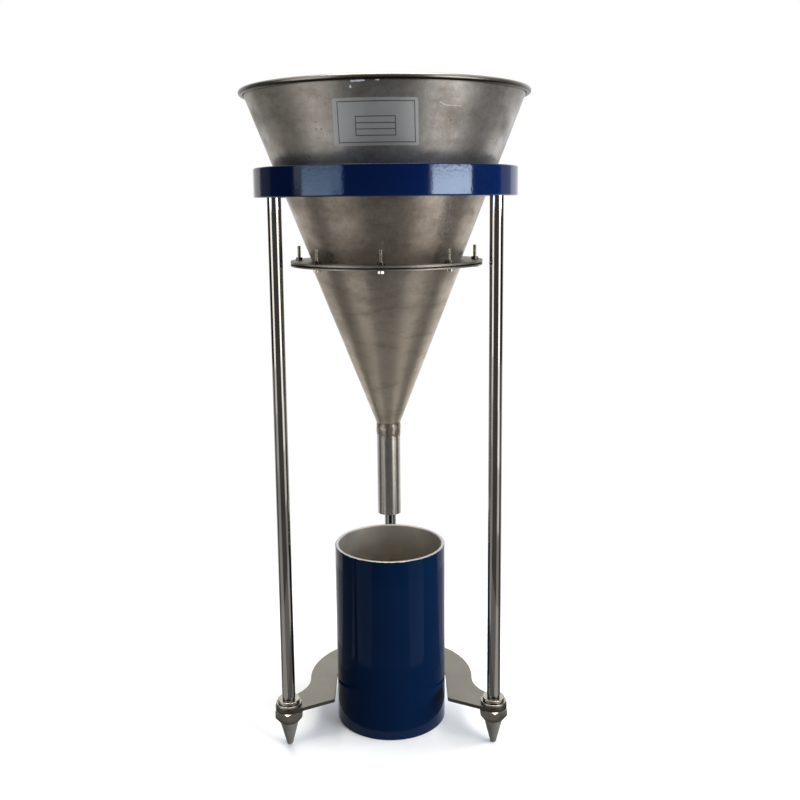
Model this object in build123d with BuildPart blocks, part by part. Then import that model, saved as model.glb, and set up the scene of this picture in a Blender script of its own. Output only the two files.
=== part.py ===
"""Bulk density tester: a two-stage sieve funnel in a ringed tripod over a one-litre cup.

The origin is on the bench under the funnel's axis, with +Z up and -Y to the front.
All sizes are in millimetres.
"""

import os
from math import acos, asin, atan2, cos, degrees, hypot, radians, sin, tan

from build123d import *

# Measuring cup
cup_bore = 90.0
cup_depth = 157.2
cup_wall = 3.0
cup_base_thickness = 3.0
cup_edge_chamfer = 0.6

# Feet, from the bench up to the rods
foot_height = 22.0
foot_top_radius = 8.0
foot_tip_radius = 2.3
foot_tip_rounding = 1.5
foot_bore_depth = 11.0
leg_nut_flats = 22.0
leg_nut_height = 11.0
leg_nut_face_inset = 0.8
leg_nut_chamfer = 1.5
leg_nut_bevel_inset = 2.2
leg_nut_bevel_height = 5.0
flat_washer_radius = 10.8
flat_washer_thickness = 2.5
spring_washer_radius = 9.2
spring_washer_thickness = 3.0
spring_washer_gap = 1.5
spring_washer_split_angle = 25.0
washer_rounding = 0.5

# Base plate
plate_thickness = 3.0
plate_hub_radius = 72.0
plate_end_radius = 11.3
plate_arm_fillet = 33.0
notch_clearance = 0.5
notch_mouth_reach = 42.5
notch_corner_radius = 3.0

# Legs
rod_radius = 5.5
rod_length = 418.0
rod_end_chamfer = 1.0
stud_radius = 4.0
stud_top_length = 14.0
stud_foot_engagement = 9.5
leg_inset = 9.75
leg_angles = {"front_right": -30.0, "rear": 90.0, "front_left": 210.0}

# Support ring, with its bore set by how far the funnel's rim stands out over it
rim_overhang = 28.05
ring_width = 18.25
ring_height = 23.5
ring_edge_rounding = 1.2
ring_socket_spare = 2.0
seat_depth = 4.5
seat_clearance = 0.3

# Funnel
cone_half_angle = 21.3
sheet = 1.0
rim_radius = 118.3
curl_radius = 1.75
curl_turn = 288.0
joint_radius = 63.2
mouth_step = 1.5
spout_radius = 10.0
spout_length = 80.2

# Flange joint between the two cones
upper_flange_thickness = 1.5
lower_flange_thickness = 1.1
flange_width = 16.8
sieve_thickness = 0.4
sieve_pitch = 7.6
sieve_opening = 5.6
sieve_margin = 1.5
gasket_thickness = 0.9
gasket_set_back = 1.6
screw_count = 8
screw_phase = -93.0
screw_offset = 10.3
screw_radius = 1.5
screw_length = 16.0
screw_head_flats = 5.5
screw_head_height = 2.4
screw_nut_height = 2.4
screw_tip_chamfer = 0.4

# Name plate
name_plate_width = 61.5
name_plate_height = 32.5
name_plate_thickness = 0.5
name_plate_corner = 1.6
name_plate_drop = 32.4
name_plate_angle = -93.4

# Clearances
stud_clearance = 0.05
washer_clearance = 0.25
screw_clearance = 0.2
weld_gap = 0.05
glue_line = 0.1

# Heights of the stand
nut_bottom = foot_height
plate_bottom = nut_bottom + leg_nut_height
plate_top = plate_bottom + plate_thickness
flat_washer_top = plate_top + flat_washer_thickness
rod_bottom = flat_washer_top + spring_washer_thickness
ring_bottom = rod_bottom + rod_length
ring_top = ring_bottom + ring_height
ring_bore_radius = rim_radius - rim_overhang
ring_outer_radius = ring_bore_radius + ring_width
leg_circle_radius = ring_bore_radius + leg_inset

# Slope of the funnel wall, and the wall's width along a horizontal cut
slope = tan(radians(cone_half_angle))
wall_across = sheet / cos(radians(cone_half_angle))

# The funnel hangs at the height where its wall meets the seat of the ring
seat_bottom = ring_top - seat_depth
cone_at_seat = ring_bore_radius - seat_clearance / cos(radians(cone_half_angle))
upper_outlet_radius = joint_radius - mouth_step
upper_bottom = seat_bottom + (upper_outlet_radius - cone_at_seat) / slope
sieve_bottom = upper_bottom - sieve_thickness
lower_top = sieve_bottom - gasket_thickness
lower_flange_bottom = lower_top - lower_flange_thickness
upper_flange_top = upper_bottom + upper_flange_thickness
spout_top = lower_top - (joint_radius - spout_radius) / slope
spout_bottom = spout_top - spout_length
flange_radius = joint_radius + flange_width
gasket_radius = flange_radius - gasket_set_back
screw_circle_radius = joint_radius + screw_offset

os.makedirs("parts", exist_ok=True)


def polar(radius, angle):
    """Point at a radius and an angle from +X, about the funnel's axis."""
    return Vector(radius * cos(radians(angle)), radius * sin(radians(angle)))


def save(piece, name):
    """Label a finished piece and write it as its own file."""
    piece.part.label = name
    export_step(piece.part, f"parts/{name}.step")


def upper_cone_radius(height):
    """Outside radius of the upper cone at a height."""
    return upper_outlet_radius + (height - upper_bottom) * slope


def at_every_leg(piece):
    """Copies of a piece made on the axis, one at each leg."""
    with BuildPart() as group:
        with Locations([polar(leg_circle_radius, angle) for angle in leg_angles.values()]):
            add(piece.part)
    return group


def at_one_leg(piece, angle):
    """A piece made on the axis, moved to the leg at an angle."""
    with BuildPart() as placed:
        with Locations(polar(leg_circle_radius, angle)):
            add(piece.part)
    return placed


# Measuring cup: an open tube, and the disc that closes it
cup_inner_radius = cup_bore / 2
cup_outer_radius = cup_inner_radius + cup_wall
cup_height = cup_base_thickness + cup_depth

with BuildPart() as cup_tube:
    with BuildSketch():
        Circle(cup_outer_radius)
        Circle(cup_inner_radius, mode=Mode.SUBTRACT)
    extrude(amount=cup_height)
    chamfer(cup_tube.edges().filter_by(GeomType.CIRCLE), cup_edge_chamfer)
save(cup_tube, "cup_tube")

with BuildPart() as cup_base:
    with BuildSketch():
        Circle(cup_inner_radius - weld_gap)
    extrude(amount=cup_base_thickness)
save(cup_base, "cup_base")

# Feet: blunt cones, bored for the studs of the legs
with BuildPart() as foot:
    with BuildSketch(Plane.XZ):
        with BuildLine():
            Polyline(
                (0, 0),
                (foot_tip_radius, 0),
                (foot_top_radius, foot_height),
                (0, foot_height),
                close=True,
            )
        make_face()
    revolve(axis=Axis.Z)
    fillet(foot.edges().filter_by(GeomType.CIRCLE).sort_by(Axis.Z)[0], foot_tip_rounding)
    with BuildSketch(Plane.XY.offset(foot_height)):
        Circle(stud_radius + stud_clearance)
    extrude(amount=-foot_bore_depth, mode=Mode.SUBTRACT)

for place, angle in leg_angles.items():
    save(at_one_leg(foot, angle), f"foot_{place}")

# Leg nuts under the base plate: hexagons with a turned upper end and a long bevel below
nut_corner_radius = leg_nut_flats / 2 / cos(radians(30))
nut_face_radius = leg_nut_flats / 2 - leg_nut_face_inset
nut_bevel_radius = leg_nut_flats / 2 - leg_nut_bevel_inset

with BuildPart() as leg_nut:
    with BuildSketch(Plane.XY.offset(nut_bottom)):
        RegularPolygon(nut_corner_radius, 6, rotation=30)
        Circle(stud_radius + stud_clearance, mode=Mode.SUBTRACT)
    extrude(amount=leg_nut_height)
    with BuildSketch(Plane.XZ):
        with BuildLine():
            Polyline(
                (0, nut_bottom),
                (nut_bevel_radius, nut_bottom),
                (nut_corner_radius, nut_bottom + leg_nut_bevel_height),
                (nut_corner_radius, plate_bottom - leg_nut_chamfer),
                (nut_face_radius, plate_bottom),
                (0, plate_bottom),
                close=True,
            )
        make_face()
    revolve(axis=Axis.Z, mode=Mode.INTERSECT)
save(at_every_leg(leg_nut), "leg_nuts")

# Base plate: a round hub with an arm to each leg and an open U for the cup
notch_radius = cup_outer_radius + notch_clearance
rear_leg = polar(leg_circle_radius, leg_angles["rear"])
front_leg = polar(leg_circle_radius, leg_angles["front_right"])


def direction(start, end):
    """Angle from +X of the line from one point to another."""
    return degrees(atan2(end.Y - start.Y, end.X - start.X))


# The fillet beside an arm is tangent to the hub and to the arm's round end
fillet_reach = plate_hub_radius + plate_arm_fillet
end_reach = plate_end_radius + plate_arm_fillet
fillet_lead = degrees(
    acos((fillet_reach**2 + leg_circle_radius**2 - end_reach**2) / (2 * fillet_reach * leg_circle_radius))
)
rear_fillet_angle = leg_angles["rear"] - fillet_lead
front_fillet_angle = leg_angles["front_right"] + fillet_lead
rear_fillet = polar(fillet_reach, rear_fillet_angle)
front_fillet = polar(fillet_reach, front_fillet_angle)

# The front edge runs from the corner of the U to a tangent of the arm's round end
notch_corner = Vector(notch_radius, -notch_mouth_reach)
corner_to_leg = (front_leg - notch_corner).length
front_edge_angle = direction(notch_corner, front_leg) - degrees(asin(plate_end_radius / corner_to_leg))
front_edge_end = front_leg + polar(plate_end_radius, front_edge_angle - 90)

with BuildPart() as base_plate:
    with BuildSketch(Plane.XY.offset(plate_bottom)):
        with BuildLine():
            rear_turn = direction(rear_leg, rear_fillet) - leg_angles["rear"]
            CenterArc(rear_leg, plate_end_radius, leg_angles["rear"], rear_turn)
            rear_fillet_start = direction(rear_fillet, rear_leg)
            fillet_turn = rear_fillet_angle + 180 - rear_fillet_start
            CenterArc(rear_fillet, plate_arm_fillet, rear_fillet_start, fillet_turn)
            CenterArc((0, 0), plate_hub_radius, rear_fillet_angle, front_fillet_angle - rear_fillet_angle)
            CenterArc(front_fillet, plate_arm_fillet, front_fillet_angle + 180, fillet_turn)
            end_start = direction(front_leg, front_fillet)
            CenterArc(front_leg, plate_end_radius, end_start, front_edge_angle - 90 - end_start)
            FilletPolyline(front_edge_end, notch_corner, (notch_radius, 0), radius=notch_corner_radius)
            CenterArc((0, 0), notch_radius, 0, leg_angles["rear"])
            mirror(about=Plane.YZ)
        make_face()
        with Locations([polar(leg_circle_radius, angle) for angle in leg_angles.values()]):
            Circle(stud_radius + washer_clearance, mode=Mode.SUBTRACT)
    extrude(amount=plate_thickness)
save(base_plate, "base_plate")

# Washers between the base plate and the shoulders of the rods
with BuildPart() as flat_washer:
    with BuildSketch(Plane.XY.offset(plate_top)):
        Circle(flat_washer_radius)
        Circle(stud_radius + washer_clearance, mode=Mode.SUBTRACT)
    extrude(amount=flat_washer_thickness)
    fillet(flat_washer.faces().sort_by(Axis.Z)[-1].outer_wire().edges(), washer_rounding)
save(at_every_leg(flat_washer), "flat_washers")

# A spring washer is split at the back by a slanting cut
split_lean = spring_washer_thickness / 2 * tan(radians(spring_washer_split_angle))

with BuildPart() as spring_washer:
    with BuildSketch(Plane.XY.offset(flat_washer_top)):
        Circle(spring_washer_radius)
        Circle(stud_radius + washer_clearance, mode=Mode.SUBTRACT)
    extrude(amount=spring_washer_thickness)
    fillet(spring_washer.faces().sort_by(Axis.Z)[-1].outer_wire().edges(), washer_rounding)
    with BuildSketch(Plane.XZ):
        with BuildLine():
            Polyline(
                (-split_lean - spring_washer_gap / 2, flat_washer_top),
                (-split_lean + spring_washer_gap / 2, flat_washer_top),
                (split_lean + spring_washer_gap / 2, rod_bottom),
                (split_lean - spring_washer_gap / 2, rod_bottom),
                close=True,
            )
        make_face()
    extrude(amount=-2 * spring_washer_radius, mode=Mode.SUBTRACT)
save(at_every_leg(spring_washer), "spring_washers")

# Legs: rods turned down to a stud at each end
stud_bottom = foot_height - stud_foot_engagement

with BuildPart() as rod:
    with BuildSketch(Plane.XZ):
        with BuildLine():
            Polyline(
                (0, stud_bottom),
                (stud_radius, stud_bottom),
                (stud_radius, rod_bottom),
                (rod_radius - rod_end_chamfer, rod_bottom),
                (rod_radius, rod_bottom + rod_end_chamfer),
                (rod_radius, ring_bottom),
                (stud_radius, ring_bottom),
                (stud_radius, ring_bottom + stud_top_length),
                (0, ring_bottom + stud_top_length),
                close=True,
            )
        make_face()
    revolve(axis=Axis.Z)

for place, angle in leg_angles.items():
    save(at_one_leg(rod, angle), f"rod_{place}")

# Support ring, with a conical seat for the funnel and a socket over each rod
with BuildPart() as support_ring:
    with BuildSketch(Plane.XZ):
        with BuildLine():
            Polyline(
                (ring_bore_radius, ring_bottom),
                (ring_outer_radius, ring_bottom),
                (ring_outer_radius, ring_top),
                (ring_bore_radius + seat_depth * slope, ring_top),
                (ring_bore_radius, seat_bottom),
                close=True,
            )
        make_face()
    revolve(axis=Axis.Z)
    outer_edges = support_ring.edges().filter_by(GeomType.CIRCLE).group_by(SortBy.RADIUS)[-1]
    fillet(outer_edges, ring_edge_rounding)
    with BuildSketch(Plane.XY.offset(ring_bottom)):
        with Locations([polar(leg_circle_radius, angle) for angle in leg_angles.values()]):
            Circle(stud_radius + stud_clearance)
    extrude(amount=stud_top_length + ring_socket_spare, mode=Mode.SUBTRACT)
save(support_ring, "support_ring")

# Upper cone: one sheet from the flange joint up to the rolled rim
curl_outer = curl_radius + sheet / 2
curl_inner = curl_radius - sheet / 2
curl_start = 180 - cone_half_angle
curl_end = curl_start - curl_turn
curl_centre_radius = rim_radius - curl_outer
sheet_end_radius = curl_centre_radius + polar(curl_radius, curl_start).X
sheet_end_height = upper_bottom + (sheet_end_radius - upper_outlet_radius + wall_across / 2) / slope
curl_centre = Vector(curl_centre_radius, sheet_end_height - polar(curl_radius, curl_start).Y)
rim_top = curl_centre.Y + curl_outer

with BuildPart() as upper_cone:
    with BuildSketch(Plane.XZ):
        with BuildLine():
            outlet_inside = Vector(upper_outlet_radius - wall_across, upper_bottom)
            outlet_outside = Vector(upper_outlet_radius, upper_bottom)
            Line(outlet_inside, curl_centre + polar(curl_outer, curl_start))
            CenterArc(curl_centre, curl_outer, curl_start, -curl_turn)
            Line(curl_centre + polar(curl_outer, curl_end), curl_centre + polar(curl_inner, curl_end))
            CenterArc(curl_centre, curl_inner, curl_end, curl_turn)
            Line(curl_centre + polar(curl_inner, curl_start), outlet_outside)
            Line(outlet_outside, outlet_inside)
        make_face()
    revolve(axis=Axis.Z)
save(upper_cone, "upper_cone")

# Name plate: a thin bare plate bent round the front of the upper cone
name_plate_centre = rim_top - name_plate_drop
name_plate_inset = glue_line / cos(radians(cone_half_angle))
name_plate_across = name_plate_thickness / cos(radians(cone_half_angle))
name_plate_face = Plane(
    origin=(0, 0, name_plate_centre),
    x_dir=polar(1, name_plate_angle + 90),
    z_dir=polar(1, name_plate_angle),
)

with BuildPart() as name_plate:
    with BuildSketch(Plane.XZ):
        with BuildLine():
            low = name_plate_centre - name_plate_height
            high = name_plate_centre + name_plate_height
            low_radius = upper_cone_radius(low) + name_plate_inset
            high_radius = upper_cone_radius(high) + name_plate_inset
            Polyline(
                (low_radius, low),
                (low_radius + name_plate_across, low),
                (high_radius + name_plate_across, high),
                (high_radius, high),
                close=True,
            )
        make_face()
    revolve(axis=Axis.Z)
    with BuildSketch(name_plate_face):
        RectangleRounded(name_plate_width, name_plate_height, name_plate_corner)
    extrude(amount=2 * rim_radius, mode=Mode.INTERSECT)
save(name_plate, "name_plate")

# Flange joint: two rings welded to the cones, with the sieve and its gasket set back between them
screw_hole_radius = screw_radius + screw_clearance


def lower_cone_radius(height):
    """Outside radius of the lower cone at a height."""
    return joint_radius - (lower_top - height) * slope


with BuildPart() as upper_flange:
    with BuildSketch(Plane.XZ):
        with BuildLine():
            Polyline(
                (upper_cone_radius(upper_bottom) + weld_gap, upper_bottom),
                (flange_radius, upper_bottom),
                (flange_radius, upper_flange_top),
                (upper_cone_radius(upper_flange_top) + weld_gap, upper_flange_top),
                close=True,
            )
        make_face()
    revolve(axis=Axis.Z)
    with BuildSketch(Plane.XY.offset(upper_bottom)):
        with PolarLocations(screw_circle_radius, screw_count, start_angle=screw_phase):
            Circle(screw_hole_radius)
    extrude(amount=upper_flange_thickness, mode=Mode.SUBTRACT)
save(upper_flange, "upper_flange")

with BuildPart() as lower_flange:
    with BuildSketch(Plane.XZ):
        with BuildLine():
            Polyline(
                (lower_cone_radius(lower_flange_bottom) + weld_gap, lower_flange_bottom),
                (flange_radius, lower_flange_bottom),
                (flange_radius, lower_top),
                (lower_cone_radius(lower_top) + weld_gap, lower_top),
                close=True,
            )
        make_face()
    revolve(axis=Axis.Z)
    with BuildSketch(Plane.XY.offset(lower_flange_bottom)):
        with PolarLocations(screw_circle_radius, screw_count, start_angle=screw_phase):
            Circle(screw_hole_radius)
    extrude(amount=lower_flange_thickness, mode=Mode.SUBTRACT)
save(lower_flange, "lower_flange")

with BuildPart() as gasket:
    with BuildSketch(Plane.XY.offset(lower_top)):
        Circle(gasket_radius)
        Circle(joint_radius - wall_across, mode=Mode.SUBTRACT)
        with PolarLocations(screw_circle_radius, screw_count, start_angle=screw_phase):
            Circle(screw_hole_radius, mode=Mode.SUBTRACT)
    extrude(amount=gasket_thickness)
save(gasket, "gasket")

# The sieve's openings fill the outlet of the upper cone, in square rows
sieve_open_radius = upper_outlet_radius - wall_across - sieve_margin
sieve_rows = int(sieve_open_radius / sieve_pitch)
sieve_points = []
for row in range(-sieve_rows, sieve_rows + 1):
    for column in range(-sieve_rows, sieve_rows + 1):
        corner_x = abs(column) * sieve_pitch + sieve_opening / 2
        corner_y = abs(row) * sieve_pitch + sieve_opening / 2
        if hypot(corner_x, corner_y) < sieve_open_radius:
            sieve_points.append((column * sieve_pitch, row * sieve_pitch))

with BuildPart() as sieve:
    with BuildSketch(Plane.XY.offset(sieve_bottom)):
        Circle(gasket_radius)
        with Locations(sieve_points):
            Rectangle(sieve_opening, sieve_opening, mode=Mode.SUBTRACT)
        with PolarLocations(screw_circle_radius, screw_count, start_angle=screw_phase):
            Circle(screw_hole_radius, mode=Mode.SUBTRACT)
    extrude(amount=sieve_thickness)
save(sieve, "sieve")

# Screws with their heads under the lower flange, and nuts on the upper one
screw_corner_radius = screw_head_flats / 2 / cos(radians(30))

with BuildPart() as screw:
    with BuildSketch(Plane.XY.offset(lower_flange_bottom)):
        RegularPolygon(screw_corner_radius, 6)
    extrude(amount=-screw_head_height)
    with BuildSketch(Plane.XY.offset(lower_flange_bottom)):
        Circle(screw_radius)
    extrude(amount=screw_length)
    chamfer(screw.faces().sort_by(Axis.Z)[-1].edges(), screw_tip_chamfer)

with BuildPart() as flange_screws:
    with PolarLocations(screw_circle_radius, screw_count, start_angle=screw_phase):
        add(screw.part)
save(flange_screws, "flange_screws")

with BuildPart() as flange_nuts:
    with BuildSketch(Plane.XY.offset(upper_flange_top)):
        with PolarLocations(screw_circle_radius, screw_count, start_angle=screw_phase):
            RegularPolygon(screw_corner_radius, 6)
            Circle(screw_radius + stud_clearance, mode=Mode.SUBTRACT)
    extrude(amount=screw_nut_height)
save(flange_nuts, "flange_nuts")

# Lower cone and the spout butted to its tip
with BuildPart() as lower_cone:
    with BuildSketch(Plane.XZ):
        with BuildLine():
            Polyline(
                (joint_radius - wall_across, lower_top),
                (joint_radius, lower_top),
                (spout_radius, spout_top),
                (spout_radius - wall_across, spout_top),
                close=True,
            )
        make_face()
    revolve(axis=Axis.Z)
save(lower_cone, "lower_cone")

with BuildPart() as spout:
    with BuildSketch(Plane.XY.offset(spout_bottom)):
        Circle(spout_radius)
        Circle(spout_radius - sheet, mode=Mode.SUBTRACT)
    extrude(amount=spout_length)
save(spout, "spout")
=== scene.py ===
from math import cos, pi, radians, sin, tan

import bpy
import bmesh
from mathutils import Matrix, Vector, noise


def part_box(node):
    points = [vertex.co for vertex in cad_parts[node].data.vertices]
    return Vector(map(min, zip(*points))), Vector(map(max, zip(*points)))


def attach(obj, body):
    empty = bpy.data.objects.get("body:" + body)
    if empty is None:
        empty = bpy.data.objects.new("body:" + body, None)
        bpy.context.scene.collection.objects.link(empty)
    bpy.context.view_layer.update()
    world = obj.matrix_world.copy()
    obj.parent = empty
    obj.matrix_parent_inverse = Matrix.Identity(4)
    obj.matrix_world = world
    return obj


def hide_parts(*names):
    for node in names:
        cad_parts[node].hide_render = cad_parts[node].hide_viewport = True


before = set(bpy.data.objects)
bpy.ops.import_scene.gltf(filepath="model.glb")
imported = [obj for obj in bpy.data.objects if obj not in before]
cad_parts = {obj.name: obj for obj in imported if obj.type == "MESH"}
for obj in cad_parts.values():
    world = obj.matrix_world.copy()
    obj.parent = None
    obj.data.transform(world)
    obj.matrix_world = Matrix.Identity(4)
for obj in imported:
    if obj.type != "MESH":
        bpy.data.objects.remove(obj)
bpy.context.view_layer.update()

# Feet
# Blunt cones of mild steel, blasted to an even matt grey. Each is screwed on the stud under a leg
# and is turned by hand to level the stand.
MM = 0.001


def linear(code):
    """Linear RGBA of an sRGB hex colour."""
    parts = [int(code[at:at + 2], 16) / 255 for at in (1, 3, 5)]
    return (*[part / 12.92 if part <= 0.04045 else ((part + 0.055) / 1.055) ** 2.4 for part in parts], 1.0)


def join(tree, node, links):
    """Link the sources given to a node's inputs."""
    for name, source in links.items():
        tree.links.new(source, node.inputs[name])


def add_node(tree, kind, settings, links=None):
    """Add a node: lower-case names are its properties, and other names or numbers are its inputs."""
    node = tree.nodes.new(kind)
    for name, value in settings.items():
        if isinstance(name, str) and name.islower():
            setattr(node, name, value)
        else:
            node.inputs[name].default_value = value
    join(tree, node, links or {})
    return node


def new_finish(name, settings):
    """A material with its even values set, and the coordinates of the piece in metres."""
    material = bpy.data.materials.new(name)
    material.use_nodes = True
    tree = material.node_tree
    surface = tree.nodes["Principled BSDF"]
    for socket, value in settings.items():
        surface.inputs[socket].default_value = value
    return material, tree, surface, add_node(tree, "ShaderNodeTexCoord", {}).outputs["Object"]


def dress(material, *names):
    """Give CAD nodes a finish."""
    for name in names:
        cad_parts[name].material_slots[0].material = material


# Blasted steel: a dull grey with no clear reflection, and a pitted grain of about 0.6 mm
blasted_steel, tree, surface, place = new_finish("blasted_foot_steel", {"Metallic": 0.6})
cloud = add_node(tree, "ShaderNodeTexNoise", {"Scale": 1 / (5 * MM), "Detail": 3.0}, {"Vector": place})
grain = add_node(tree, "ShaderNodeTexNoise", {"Scale": 1 / (0.6 * MM), "Detail": 2.0}, {"Vector": place})
tone = add_node(
    tree, "ShaderNodeMix", {"data_type": "RGBA", 6: linear("#918d85"), 7: linear("#c1bbb0")},
    {0: cloud.outputs["Fac"]},
)
matt = add_node(tree, "ShaderNodeMapRange", {"To Min": 0.42, "To Max": 0.66}, {"Value": grain.outputs["Fac"]})
pits = add_node(
    tree, "ShaderNodeBump", {"Strength": 0.6, "Distance": 0.06 * MM}, {"Height": grain.outputs["Fac"]},
)
join(tree, surface, {
    "Base Color": tone.outputs[2], "Roughness": matt.outputs[0], "Normal": pits.outputs[0],
})
dress(blasted_steel, "foot_front_left", "foot_front_right", "foot_rear")

# Leg nuts and washers
# Stainless hexagon nuts under the base plate, and a flat and a spring washer above it at each leg.
# They clamp the plate against the shoulders of the rods.
nut_low, nut_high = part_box("leg_nuts")
joint_inset = 0.35 * MM
joint_levels = [nut_high.z - joint_inset]
joint_levels += [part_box(name)[0].z + joint_inset for name in ("flat_washers", "spring_washers")]
joint_half_height = 0.25 * MM
bevel_height = 5 * MM
# How far painted shade darkens the bevel over the bench
bevel_painted_shade = 0.55

# Bright stainless: turned and tumbled, with soft bright reflections and dull handling marks
bright_steel, tree, surface, place = new_finish("bright_fastener_steel", {"Metallic": 1.0})
smear = add_node(tree, "ShaderNodeTexNoise", {"Scale": 1 / (6 * MM), "Detail": 4.0}, {"Vector": place})
tone = add_node(
    tree, "ShaderNodeMix", {"data_type": "RGBA", 6: linear("#a5a097"), 7: linear("#d6d1c6")},
    {0: smear.outputs["Fac"]},
)
gloss = add_node(
    tree, "ShaderNodeMapRange", {"To Min": 0.12, "To Max": 0.28}, {"Value": smear.outputs["Fac"]},
)

# Painted shade darkens the bevel that faces down over the bench, and a thin band at each joint between the
# pieces is darker
height = add_node(tree, "ShaderNodeSeparateXYZ", {}, {0: place})
bevel_shade_and_joints = add_node(
    tree, "ShaderNodeMapRange",
    {"From Min": nut_low.z + bevel_height, "From Max": nut_low.z, "To Max": bevel_painted_shade},
    {"Value": height.outputs["Z"]},
)
for level in joint_levels:
    joint = add_node(
        tree, "ShaderNodeMath", {"operation": "COMPARE", 1: level, 2: joint_half_height},
        {0: height.outputs["Z"]},
    )
    bevel_shade_and_joints = add_node(
        tree, "ShaderNodeMath", {"operation": "MAXIMUM"}, {0: bevel_shade_and_joints.outputs[0], 1: joint.outputs[0]},
    )
tone = add_node(
    tree, "ShaderNodeMix", {"data_type": "RGBA", 7: linear("#26241f")},
    {0: bevel_shade_and_joints.outputs[0], 6: tone.outputs[2]},
)
join(tree, surface, {"Base Color": tone.outputs[2], "Roughness": gloss.outputs[0]})
dress(bright_steel, "leg_nuts", "flat_washers", "spring_washers")

# Base plate
# A horseshoe of 3 mm stainless plate, laser cut and finely ground on both faces.
# The cup stands in its open side, and the legs are bolted to its three ends.
plate_bottom, plate_top = (corner.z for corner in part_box("base_plate"))
edge_margin = 0.05 * MM

# Ground plate: a soft sheen with lines along the plate. The lines are drawn 0.9 mm wide to show.
ground_plate, tree, surface, place = new_finish("ground_plate_steel", {"Metallic": 1.0})
along = add_node(
    tree, "ShaderNodeMapping", {"Scale": (1 / (45 * MM), 1 / (0.9 * MM), 1 / (0.9 * MM))}, {"Vector": place},
)
lines = add_node(tree, "ShaderNodeTexNoise", {"Scale": 1.0, "Detail": 3.0}, {"Vector": along.outputs[0]})
cloud = add_node(tree, "ShaderNodeTexNoise", {"Scale": 1 / (25 * MM), "Detail": 3.0}, {"Vector": place})
tone = add_node(
    tree, "ShaderNodeMix", {"data_type": "RGBA", 6: linear("#7f7b74"), 7: linear("#979389")},
    {0: cloud.outputs["Fac"]},
)
height = add_node(tree, "ShaderNodeSeparateXYZ", {}, {0: place})
over_bottom = add_node(
    tree, "ShaderNodeMath", {"operation": "GREATER_THAN", 1: plate_bottom + edge_margin},
    {0: height.outputs["Z"]},
)
cut_edge = add_node(
    tree, "ShaderNodeMath", {"operation": "LESS_THAN", 1: plate_top - edge_margin}, {0: height.outputs["Z"]},
)
cut_edge = add_node(
    tree, "ShaderNodeMath", {"operation": "MULTIPLY"}, {0: over_bottom.outputs[0], 1: cut_edge.outputs[0]},
)
tone = add_node(
    tree, "ShaderNodeMix", {"data_type": "RGBA", 7: linear("#6b6861")},
    {0: cut_edge.outputs[0], 6: tone.outputs[2]},
)
sheen = add_node(tree, "ShaderNodeMapRange", {"To Min": 0.3, "To Max": 0.46}, {"Value": lines.outputs["Fac"]})
scratch = add_node(
    tree, "ShaderNodeBump", {"Strength": 0.35, "Distance": 0.03 * MM}, {"Height": lines.outputs["Fac"]},
)
join(tree, surface, {
    "Base Color": tone.outputs[2], "Roughness": sheen.outputs[0], "Normal": scratch.outputs[0],
})
dress(ground_plate, "base_plate")

# Legs
# Three stainless rods, centreless ground and polished, turned down to a threaded stud at each end.
# The upper stud screws into the support ring, and the lower one carries the plate and the foot.
stud_thread_pitch = 1.25 * MM
stud_thread_depth = 0.7 * MM
thread_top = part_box("foot_rear")[1].z

# Ground rod: sharp upright streaks of the room and a few dull finger marks, with a trace of grinding
# rings, drawn 0.7 mm apart to show
ground_rod, tree, surface, place = new_finish("ground_rod_steel", {"Metallic": 1.0})
smear = add_node(
    tree, "ShaderNodeMapping", {"Scale": (1 / (12 * MM), 1 / (12 * MM), 1 / (35 * MM))}, {"Vector": place},
)
smear = add_node(tree, "ShaderNodeTexNoise", {"Scale": 1.0, "Detail": 4.0}, {"Vector": smear.outputs[0]})
rings = add_node(
    tree, "ShaderNodeMapping", {"Scale": (1 / (20 * MM), 1 / (20 * MM), 1 / (0.7 * MM))}, {"Vector": place},
)
rings = add_node(tree, "ShaderNodeTexNoise", {"Scale": 1.0, "Detail": 2.0}, {"Vector": rings.outputs[0]})
tone = add_node(
    tree, "ShaderNodeMix", {"data_type": "RGBA", 6: linear("#9c9b98"), 7: linear("#b3b2af")},
    {0: smear.outputs["Fac"]},
)
gloss = add_node(
    tree, "ShaderNodeMapRange", {"From Min": 0.3, "From Max": 0.75, "To Min": 0.03, "To Max": 0.1},
    {"Value": smear.outputs["Fac"]},
)

# The stud's thread starts at the top of the foot. A wave of scale S repeats every pi / (10 S).
height = add_node(tree, "ShaderNodeSeparateXYZ", {}, {0: place})
on_stud = add_node(
    tree, "ShaderNodeMath", {"operation": "LESS_THAN", 1: thread_top}, {0: height.outputs["Z"]},
)
thread = add_node(
    tree, "ShaderNodeTexWave",
    {"bands_direction": "Z", "wave_profile": "TRI", "Scale": pi / (10 * stud_thread_pitch)},
    {"Vector": place},
)
thread = add_node(
    tree, "ShaderNodeMath", {"operation": "MULTIPLY"}, {0: thread.outputs["Fac"], 1: on_stud.outputs[0]},
)
grinding = add_node(
    tree, "ShaderNodeBump", {"Strength": 0.02, "Distance": 0.01 * MM}, {"Height": rings.outputs["Fac"]},
)
turns = add_node(
    tree, "ShaderNodeBump", {"Strength": 1.0, "Distance": stud_thread_depth},
    {"Height": thread.outputs[0], "Normal": grinding.outputs[0]},
)
join(tree, surface, {
    "Base Color": tone.outputs[2], "Roughness": gloss.outputs[0], "Normal": turns.outputs[0],
})
dress(ground_rod, "rod_front_left", "rod_front_right", "rod_rear")

# Support ring
# A turned steel ring, sprayed with glossy blue enamel, with a conical seat that the funnel hangs in.
# The seat's paint is rubbed where the funnel goes in and out.
ring_low, ring_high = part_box("support_ring")
seat_depth = 4.5 * MM
seat_wear_radius = 92.6 * MM
wear_fade = 0.8 * MM
wear_overlap = 0.6 * MM


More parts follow.
